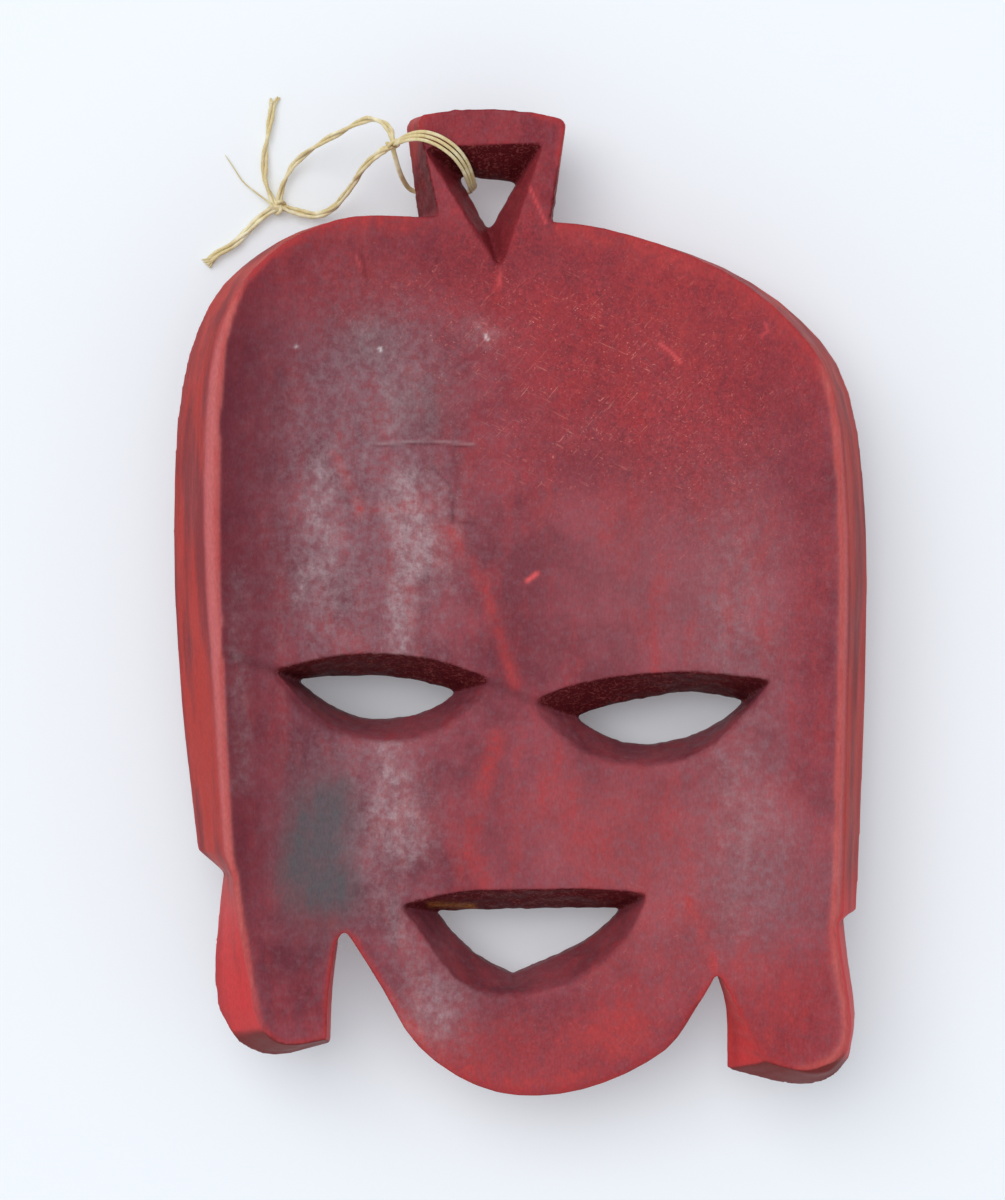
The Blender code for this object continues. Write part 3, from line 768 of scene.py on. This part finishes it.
# Pale colour of the bloom and of the painted sheen.
BLOOM_AND_SHEEN_PALE = (0.560, 0.440, 0.460, 1.0)
SPECK_PINK = (0.800, 0.300, 0.240, 1.0)
NICK_RED = (0.850, 0.120, 0.125, 1.0)
FLECK_WHITE = (0.850, 0.780, 0.780, 1.0)
UNDYED = (0.420, 0.160, 0.040, 1.0)


def tinted(n, colour, mask, strength, shade):
    """The colour with the shade over it where the mask is, at most at that strength."""
    return n.mix(n.ramp(n.attribute(mask), 0.0, 1.0, 0.0, strength), colour, shade)


def broken_up(n, mask, noise, *limits):
    """The mask made uneven by the noise."""
    return n.math("MULTIPLY", n.attribute(mask), n.ramp(noise, *limits))


def wood_noises(n, place):
    """The uneven patterns of the wood and its stain, from the finest fibres to broad mottling."""
    return {"fibres": n.noise(n.stretch(place, (1.0, 0.45, 1.0)), 2600.0, 3.0, 0.6),
            "streaks": n.noise(n.stretch(place, (1.0, 0.30, 1.0)), 240.0, 4.0, 0.6),
            "mottle": n.noise(place, 75.0, 5.0, 0.62),
            "clouds": n.noise(place, 330.0, 6.0, 0.74),
            "felt": n.noise(place, 700.0, 5.0, 0.70),
            "squiggles": n.noise(place, 1100.0, 3.0, 0.60, 1.6),
            "along": n.noise(n.stretch(place, (1.0, 0.16, 1.0)), 160.0, 5.0, 0.65)}


def stained(n, noises, crimson):
    """The stain of the hollow: mauve, greyed in part by a painted sheen, crimson or dark in places; painted
    light makes it warmer on the right flank and chin, and painted shade darkens some patches.
    """
    felt = noises["felt"]
    colour = n.mix(n.ramp(noises["mottle"], 0.38, 0.62), MAUVE_DARK, MAUVE)
    # Painted light: warmer and lighter on the right flank and chin.
    colour = tinted(n, colour, "painted_light", 0.42, PAINTED_LIGHT_MAUVE)
    colour = n.mix(n.ramp(noises["streaks"], 0.48, 0.72, 0.0, 0.50), colour, STAIN_RED)
    # Greyed in patches, partly a painted sheen; next, greyed at random by the felt noise.
    colour = n.mix(broken_up(n, "greyed_and_sheen", felt, 0.40, 0.62, 0.35, 0.90), colour, HAZE_AND_SHEEN_GREY)
    colour = n.mix(n.ramp(felt, 0.47, 0.72, 0.0, 0.40), colour, HAZE_AND_SHEEN_GREY)
    colour = tinted(n, colour, "crimson", 0.62, crimson)
    # Darker in patches: dark stain, and painted shade on the left flank and upper right.
    depth = broken_up(n, "deep_stain_and_shade", noises["clouds"], 0.35, 0.60, 1.1, 0.5)
    colour = n.mix(n.ramp(depth, 0.0, 1.0, 0.0, 0.80), colour, MAUVE_DARK)
    return n.mix(broken_up(n, "red", felt, 0.30, 0.60, 1.15, 0.55), colour, STAIN_RED)


def worn(n, noises, colour):
    """The outer walls and worn red edges, with painted highlights along the rim, and painted shade in
    creases, on the left flank, at the pendants' ends, on the lower walls and in two creases by the eyes.
    """
    along = noises["along"]
    side = n.mix(n.ramp(along, 0.40, 0.56), SIDE_DARK, SIDE_RED)
    colour = tinted(n, colour, "side", 0.88, side)
    colour = n.mix(broken_up(n, "pendant_side", along, 0.38, 0.54, 0.55, 0.88), colour, PENDANT_RED)
    # Painted highlights on the rim; painted shade in creases, on the pendants' ends, on the left flank,
    # along two creases by the eyes and on the lower walls; worn red edges.
    for mask, strength, shade in (("lip_highlight", 0.85, LIP_HIGHLIGHT_PINK), ("crest_highlight", 0.65, CREST_HIGHLIGHT_PINK),
                                  ("edge", 0.60, WORN_RED), ("crease_shade", 0.50, MAUVE_DARK),
                                  ("pendant_end_shade", 0.90, END_SHADE_BROWN), ("left_flank_shade", 0.75, LEFT_FLANK_SHADE_MAROON),
                                  ("dark", 0.75, CRACK_AND_CREASE_DARK), ("lower_wall_shade", 0.18, MAUVE_DARK)):
        colour = tinted(n, colour, mask, strength, shade)
    return colour


def cut_walls(n, noises, colour, crimson):
    """The walls of the openings: painted shade, dark and rough with pale fibres, above; crimson in the
    hanging eye; one streak undyed.
    """
    squiggles = noises["squiggles"]
    colour = tinted(n, colour, "recess", 0.55, crimson)
    colour = tinted(n, colour, "recess", 0.45, RECESS_RED)
    # Painted shade on the upper walls, which face down away from the light, broken by rough pale fibres.
    rough_wall = n.mix(n.ramp(squiggles, 0.52, 0.66), WALL_SHADE_DARK, WALL_FIBRE)
    colour = tinted(n, colour, "upper_wall_shade", 0.95, rough_wall)
    return n.mix(broken_up(n, "undyed", squiggles, 0.38, 0.60, 0.25, 0.90), colour, UNDYED)


def hazed(n, noises, colour):
    """The pale film, partly a painted sheen, and the dark smudge on the stain."""
    # Painted sheen and pale bloom, broken up by noise.
    haze_and_sheen = broken_up(n, "bloom_and_sheen", noises["clouds"], 0.36, 0.66, 0.32, 1.28)
    haze_and_sheen = n.math("MULTIPLY", haze_and_sheen, n.ramp(noises["felt"], 0.35, 0.65, 0.45, 1.25))
    colour = n.mix(n.ramp(haze_and_sheen, 0.0, 1.0, 0.0, 0.46), colour, BLOOM_AND_SHEEN_PALE)
    soot = broken_up(n, "smudge", noises["clouds"], 0.40, 0.60, 0.82, 1.0)
    return n.mix(n.ramp(soot, 0.0, 1.0, 0.0, 0.92), colour, SMUDGE)


def marked(n, noises, colour, place):
    """Fine scratches both ways, specks, nicks and flecks."""
    one_way = n.stretch(n.stretch(place, (1.0, 1.0, 1.0), (0.0, 0.0, 0.75)), (1.0, 0.06, 1.0))
    other_way = n.stretch(n.stretch(place, (1.0, 1.0, 1.0), (0.0, 0.0, -1.1)), (1.0, 0.07, 1.0))
    scratches = n.ramp(n.noise(one_way, 3600.0, 1.0, 0.5, 1.2), 0.66, 0.75, 0.0, 0.60)
    crossing = n.ramp(n.noise(other_way, 4200.0, 1.0, 0.5, 1.2), 0.66, 0.75, 0.0, 0.55)
    dots = n.ramp(n.noise(place, 2600.0, 2.0, 0.6), 0.64, 0.73)
    fine_marks = n.math("MAXIMUM", n.math("MAXIMUM", scratches, crossing), dots)
    marks = n.math("MULTIPLY", fine_marks, n.attribute("scratched"))
    strength = n.math("MULTIPLY", marks, n.ramp(noises["clouds"], 0.42, 0.60, 0.15, 0.80))
    colour = n.mix(strength, colour, SPECK_PINK)
    colour = n.mix(n.attribute("nick"), colour, NICK_RED)
    return n.mix(n.attribute("fleck"), colour, FLECK_WHITE)


def wood_material():
    """Close-grained wood stained dark red, rubbed mauve in the hollow and worn red on the edges, with
    painted highlights, sheen and shade in its colour.
    """
    n = Nodes("dyed_wood")
    place = n.add("ShaderNodeTexCoord").outputs["Object"]
    noises = wood_noises(n, place)
    crimson = n.mix(n.ramp(noises["squiggles"], 0.36, 0.64), CRIMSON_DARK, CRIMSON)
    colour = worn(n, noises, stained(n, noises, crimson))
    colour = hazed(n, noises, cut_walls(n, noises, colour, crimson))
    colour = marked(n, noises, colour, place)
    colour = n.mix(1.0, colour, n.ramp(noises["fibres"], 0.25, 0.75, 0.86, 1.13), "MULTIPLY")
    n.link(colour, n.shader.inputs["Base Color"])
    n.link(n.ramp(noises["streaks"], 0.3, 0.7, 0.36, 0.52), n.shader.inputs["Roughness"])
    n.shader.inputs["Specular IOR Level"].default_value = WOOD_SPECULAR
    grain = n.bump(noises["fibres"], 0.22, 0.0001)
    n.link(n.bump(noises["felt"], 0.15, 0.0002, grain), n.shader.inputs["Normal"])
    return n.material


WOOD_SPECULAR = 0.03

STRAW_DARK = (0.58, 0.45, 0.20, 1.0)
STRAW = (0.88, 0.74, 0.41, 1.0)
STRAW_PALE = (0.96, 0.89, 0.62, 1.0)


def twine_material():
    """Loosely laid straw-coloured fibres that run at a slant round each thread."""
    n = Nodes("straw_twine")
    coordinates = n.add("ShaderNodeUVMap", uv_map="along").outputs["UV"]
    slanted = n.stretch(coordinates, (9.0, 0.9, 1.0), (0.0, 0.0, 0.5))
    fibres = n.noise(slanted, 3.0, 4.0, 0.65)
    place = n.add("ShaderNodeTexCoord").outputs["Object"]
    patches = n.noise(place, 350.0, 2.0, 0.5)
    colour = n.mix(n.ramp(fibres, 0.35, 0.65), STRAW_DARK, STRAW)
    colour = n.mix(n.ramp(patches, 0.45, 0.7), colour, STRAW_PALE)
    n.link(colour, n.shader.inputs["Base Color"])
    n.shader.inputs["Roughness"].default_value = 0.62
    n.link(n.bump(fibres, 0.6, 0.0002), n.shader.inputs["Normal"])
    return n.material


# ---------------------------------------------------------------- the twine

def laid_threads(tubes, centre, count, radius, spread, pitch, phase=0.0):
    """Threads that wind slowly round each other along the centre line, in a slightly flat bundle."""
    frames = travelling_frames(centre)
    wide, thin = spread
    for thread in range(count):
        travelled = 0.0
        route = []
        for index, (point, (u, v)) in enumerate(zip(centre, frames)):
            if index:
                travelled += (point - centre[index - 1]).length
            angle = phase + 2 * math.pi * (thread / count + travelled / pitch)
            loose = 1 + 0.18 * math.sin(travelled * 0.9 + thread * 2.4)
            ends = min(1.0, 0.35 + travelled / 3.0)
            route.append(point + (u * math.cos(angle) * thin + v * math.sin(angle) * wide) * loose * ends)
        radii = [radius * (1 + 0.12 * math.sin(index * 1.1 + thread * 2.1)) for index in range(len(route))]
        tubes.add(route, radii)


def frayed_end(tubes, tip, direction, seed, count=14, length=2.4):
    """Loose hairs at a cut end, spreading on the table."""
    rng = np.random.default_rng(seed)
    direction = Vector(direction).normalized()
    side = Vector((-direction.y, direction.x, 0.0))
    for _ in range(count):
        spread = rng.uniform(-0.42, 0.42)
        reach = length * rng.uniform(0.5, 1.0)
        start = Vector(tip) + side * rng.uniform(-0.45, 0.45) - direction * 1.4
        middle = start + direction * reach * 0.6 + side * spread * reach * 0.35
        end = start + direction * reach + side * spread * reach
        start.z, middle.z, end.z = 0.9, 0.7, rng.uniform(0.25, 0.7)
        tubes.add(smooth_curve([start, middle, end], 4), [0.17] * 8 + [0.08], 6)


def finish_twine(obj, *nodes):
    obj.data.materials.append(bpy.data.materials.get("straw_twine") or twine_material())
    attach(obj, BODY)
    if nodes:
        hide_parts(*nodes)
    return obj


def make_wrap():
    """Three threads side by side over the stem, through the hanging eye and back to the hitch."""
    tubes = TubeMesh()
    centre = smooth_curve(WRAP_ROUTE, 6)
    total = len(centre) - 1
    for shift in (-1.0, 0.0, 1.0):
        route = []
        for index, point in enumerate(centre):
            t = index / total
            apart = 0.12 + 0.68 * math.sin(math.pi * min(1.0, t / 0.60)) ** 0.8
            across = Vector((0.30 + 1.2 * t, 1.0, 0.0)).normalized()
            route.append(point + across * shift * apart)
        tubes.add(smooth_curve(route[::3] + [route[-1]], 3), THREAD / 2)
    return finish_twine(tubes.build("wrap_threads"), "twine_wrap")


def make_hitch():
    """Two turns of thread round the bundle where the loop leaves the stem."""
    tubes = TubeMesh()
    centre = Vector(HITCH_CENTRE)
    axis = Vector((-0.45, 0.85, -0.2)).normalized()
    u = axis.orthogonal().normalized()
    v = axis.cross(u)
    turns = 1.6
    steps = 40
    route = []
    for step in range(steps + 1):
        t = step / steps
        angle = 2 * math.pi * turns * t
        route.append(centre + axis * (t - 0.5) * 1.3 + (u * math.cos(angle) + v * math.sin(angle)) * 0.80)
    tubes.add(route, THREAD / 2)
    return finish_twine(tubes.build("hitch_turns"), "twine_hitch")


def make_knot():
    """A small overhand knot that ties the loop."""
    tubes = TubeMesh()
    route = []
    steps = 60
    for step in range(steps + 1):
        t = 2 * math.pi * step / steps
        x = math.sin(t) + 2 * math.sin(2 * t)
        y = math.cos(t) - 2 * math.cos(2 * t)
        z = -math.sin(3 * t)
        route.append(Vector(KNOT_CENTRE) + Vector((x * 0.44, y * 0.40, z * 0.70)))
    tubes.add(route, THREAD / 2)
    return finish_twine(tubes.build("overhand_knot"), "twine_knot")


def make_fibre():
    tubes = TubeMesh()
    route = smooth_curve(FIBRE_ROUTE, 6)
    tubes.add(route, [0.2 - 0.12 * i / len(route) for i in range(len(route))], 6)
    return finish_twine(tubes.build("loose_fibre"), "twine_fibre")


def make_leg(name, leg_route, tail_route, count, spread, pitch, seed, nodes):
    """One side of the loop from the hitch to the knot, and the tail beyond it."""
    centre = smooth_curve(leg_route + [KNOT_CENTRE] + tail_route, 8)
    tubes = TubeMesh()
    laid_threads(tubes, centre, count, THREAD / 2, spread, pitch)
    tip = tail_route[-1]
    frayed_end(tubes, tip, Vector(tip) - Vector(tail_route[-2]), seed)
    obj = finish_twine(tubes.build(name), *nodes)


def make_twine():
    wrap = make_wrap()
    hitch = make_hitch()
    knot = make_knot()
    fibre = make_fibre()
    make_leg("upper_side_of_loop", UPPER_LEG_ROUTE, UPPER_TAIL_ROUTE, 2, (0.36, 0.30), 17.0, 11,
             ("twine_upper_leg", "twine_upper_tail"))
    make_leg("lower_side_of_loop", LOWER_LEG_ROUTE, LOWER_TAIL_ROUTE, 3, (0.58, 0.26), 26.0, 12,
             ("twine_lower_leg", "twine_lower_tail"))


# ---------------------------------------------------------------- build


make_camera()
make_twine()
make_wood()
make_floor()
make_lights()
